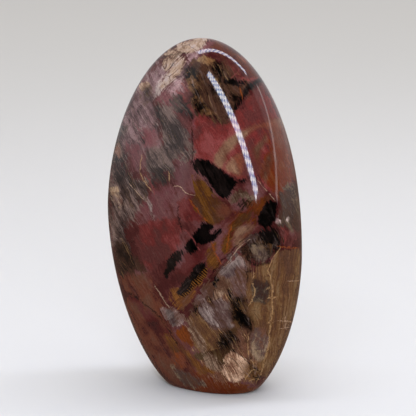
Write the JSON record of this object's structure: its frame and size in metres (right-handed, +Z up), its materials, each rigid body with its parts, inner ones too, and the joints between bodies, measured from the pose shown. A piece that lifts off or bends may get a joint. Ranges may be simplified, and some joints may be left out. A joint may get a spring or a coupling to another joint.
{
  "type": "petrified wood freeform",
  "caption": "Upright polished block of petrified wood, egg-like with soft ground faces, standing on a small flat cut.",
  "frame": {"origin": "where the stone's middle line meets the flat cut underneath, on the surface the stone stands on", "axes": "+Z up to the crown, X along the broad side, -Y is the broad front that the picture mostly shows"},
  "size_m": [0.0724, 0.0439, 0.129],
  "materials": {
    "petrified_wood": "polished"
  },
  "bodies": {
    "root": {"petrified_wood": "petrified_wood"}
  },
  "joints": []
}
